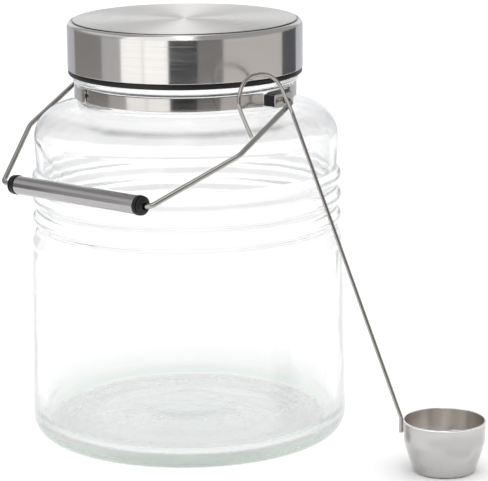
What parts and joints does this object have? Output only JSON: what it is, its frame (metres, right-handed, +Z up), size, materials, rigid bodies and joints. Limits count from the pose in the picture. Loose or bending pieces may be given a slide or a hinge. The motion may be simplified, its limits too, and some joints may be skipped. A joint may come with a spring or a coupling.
{
  "type": "plum wine jar",
  "caption": "Wide clear glass jar for steeping fruit wine, with a steel screw lid, a wire bail handle that swings on neck ears, and a long hooked ladle that stands beside it.",
  "frame": {"origin": "centre of the base of the whole assembly's box, on the surface that the jar and the ladle stand on; the jar's own axis is at x -47.2 mm, y +4.0 mm", "axes": "+Z up along the jar's axis, X along the bail's pivot axis with the ladle on the +X side, -Y towards the side that the bail's grip rests on"},
  "size_m": [0.2688, 0.1826, 0.2306],
  "materials": {
    "clear_glass": "clear pressed soda glass, faintly green where it is thick",
    "brushed_steel": "top disc brushed in circles, skirt brushed round",
    "strap_steel": "satin strip",
    "wire_steel": "bright drawn wire",
    "grip_tube_steel": "satin tube",
    "ladle_steel": "spun satin",
    "black_plastic": "matt black",
    "seal_rubber": "translucent white"
  },
  "bodies": {
    "jar": {"jar_glass": "clear_glass", "strap_front": "strap_steel", "strap_rear": "strap_steel", "ear_block_right": "black_plastic", "ear_block_left": "black_plastic", "ear_bracket_right": "strap_steel", "ear_bracket_left": "strap_steel"},
    "lid_seal": {"lid_seal_ring": "seal_rubber"},
    "lid": {"lid_inner_cap": "black_plastic", "lid_cover": "brushed_steel"},
    "bail": {"bail_wire": "wire_steel"},
    "grip": {"grip_tube": "grip_tube_steel", "grip_cap_right": "black_plastic", "grip_cap_left": "black_plastic"},
    "ladle": {"ladle_cup": "ladle_steel", "ladle_handle": "wire_steel"}
  },
  "joints": [
    {"name": "lid_lift", "type": "slide", "parent": "jar", "child": "lid_seal", "axis": [0, 0, 1], "range_m": [0, 0.027]},
    {"name": "lid_turn", "type": "hinge", "parent": "lid_seal", "child": "lid", "pos_m": [-0.04719, 0.00395, 0.2275], "axis": [0, 0, 1], "range_deg": [0, 810]},
    {"name": "bail_swing", "type": "hinge", "parent": "jar", "child": "bail", "pos_m": [-0.04719, 0.00395, 0.19255], "axis": [-1, 0, 0], "range_deg": [0, 232]},
    {"name": "grip_spin", "type": "hinge", "parent": "bail", "child": "grip", "pos_m": [-0.04719, -0.08615, 0.14763], "axis": [1, 0, 0], "continuous": true},
    {"name": "ladle_lift", "type": "slide", "parent": "jar", "child": "ladle", "axis": [0, 0, 1], "range_m": [0, 0.24]}
  ],
  "couplings": [
    {"joint": "lid_lift", "follows": "lid_turn", "m_per_rad": 0.0019099}
  ]
}
